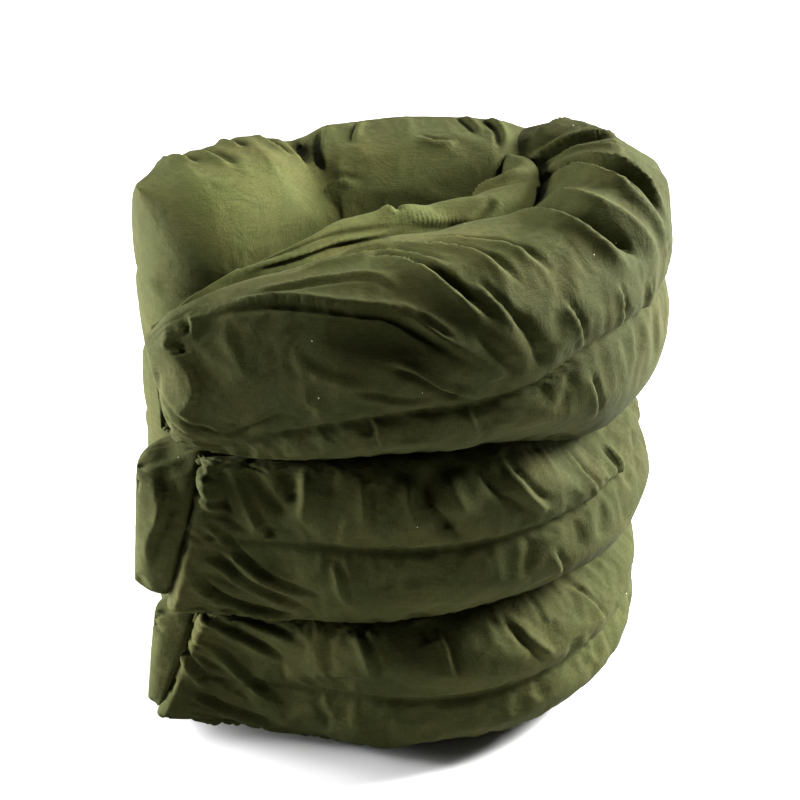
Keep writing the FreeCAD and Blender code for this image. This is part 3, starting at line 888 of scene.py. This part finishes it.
SHAPES = (
    ("back_lobe", lobe_shape, ("left_folded_row_%s", "back_outer_row_%s", "back_inner_row_%s")),
    ("front_tube", front_shape, ("front_outer_row_%s",)),
    ("inner_tube", inner_shape, ("front_inner_row_%s",)),
)


def make_rows():
    """Makes the nine tubes, hides the CAD rows they stand for, and ties the lower rows' inner tubes
    to the front wing.
    """
    seed = 3
    for row in ROWS:
        for kind, shape, nodes in SHAPES:
            tube = Tube("%s_%s" % (kind, row.name), row, shape)
            wrinkle(tube)
            tube.finer()
            sculpt(tube, np.random.default_rng(seed))
            seed += 1
            piece = add(tube.name, tube.mesh())
            piece.data.materials.append(COTTON)
            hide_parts(*[node % row.name for node in nodes])
            if kind == "inner_tube" and not row.top:
                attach(piece, "front_wing")
            elif kind != "back_lobe":
                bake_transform(piece)
            else:
                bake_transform(piece)


make_rows()
finish_insides()

# ---------------------------------------------------------------------------
# Floor, light and camera
# ---------------------------------------------------------------------------

TARGET = Vector((0.0, 0.013, 0.212))
DISTANCE, ELEVATION = 2.0, radians(29.8)


def stage():
    floor = add("floor", bpy.data.meshes.new("floor"))
    size = 6
    floor.data.from_pydata([(-size, -size, 0), (size, -size, 0), (size, size, 0), (-size, size, 0)],
                           [], [(0, 1, 2, 3)])
    mat = bpy.data.materials.new("floor")
    mat.use_nodes = True
    shader = mat.node_tree.nodes["Principled BSDF"]
    shader.inputs["Base Color"].default_value = (0.60, 0.60, 0.60, 1)
    shader.inputs["Roughness"].default_value = 0.9
    floor.data.materials.append(mat)


def area_light(name, place, look_at, size, power):
    data = bpy.data.lights.new(name, "AREA")
    data.shape = "RECTANGLE"
    data.size, data.size_y = size
    data.energy = power
    lamp = bpy.data.objects.new(name, data)
    lamp.location = place
    lamp.rotation_euler = (Vector(look_at) - Vector(place)).to_track_quat("-Z", "Y").to_euler()
    bpy.context.scene.collection.objects.link(lamp)


def fold_light():
    """A narrow soft light from the right, over the front, on to the folded end."""
    data = bpy.data.lights.new("fold_light", "SPOT")
    data.energy, data.spot_size, data.spot_blend = 3000, radians(7), 1.0
    data.shadow_soft_size = 0.15
    lamp = bpy.data.objects.new("fold_light", data)
    lamp.location = (1.3, -0.30, 1.90)
    aim = Vector((-0.24, 0.02, 0.33)) - lamp.location
    lamp.rotation_euler = aim.to_track_quat("-Z", "Y").to_euler()
    bpy.context.scene.collection.objects.link(lamp)


def camera():
    """A long lens, looking down at the front."""
    data = bpy.data.cameras.new("camera")
    data.sensor_width = 36
    data.lens = 90.3
    cam = bpy.data.objects.new("camera", data)
    away = Vector((0, -cos(ELEVATION), sin(ELEVATION)))
    cam.location = TARGET + away * DISTANCE
    cam.rotation_euler = (-away).to_track_quat("-Z", "Y").to_euler()
    data.shift_x = 0.004
    data.shift_y = 0.054
    bpy.context.scene.collection.objects.link(cam)
    bpy.context.scene.camera = cam


def surroundings():
    """A dim white room, and colours shown as they are."""
    world = bpy.data.worlds.new("studio")
    world.use_nodes = True
    background = world.node_tree.nodes["Background"]
    background.inputs["Color"].default_value = (1, 1, 1, 1)
    background.inputs["Strength"].default_value = 0.05
    bpy.context.scene.world = world
    bpy.context.scene.view_settings.view_transform = "Standard"


stage()
area_light("left_softbox", (-2.1, 0.25, 0.50), (0, 0, 0.25), (0.8, 1.0), 345)
area_light("right_softbox", (1.95, 0.82, 1.20), (-0.05, 0, 0.35), (0.8, 0.9), 470)
area_light("floor_light", (0, 3.6, 2.6), (0, 3.6, 0), (4.0, 2.0), 160)
fold_light()
camera()
surroundings()
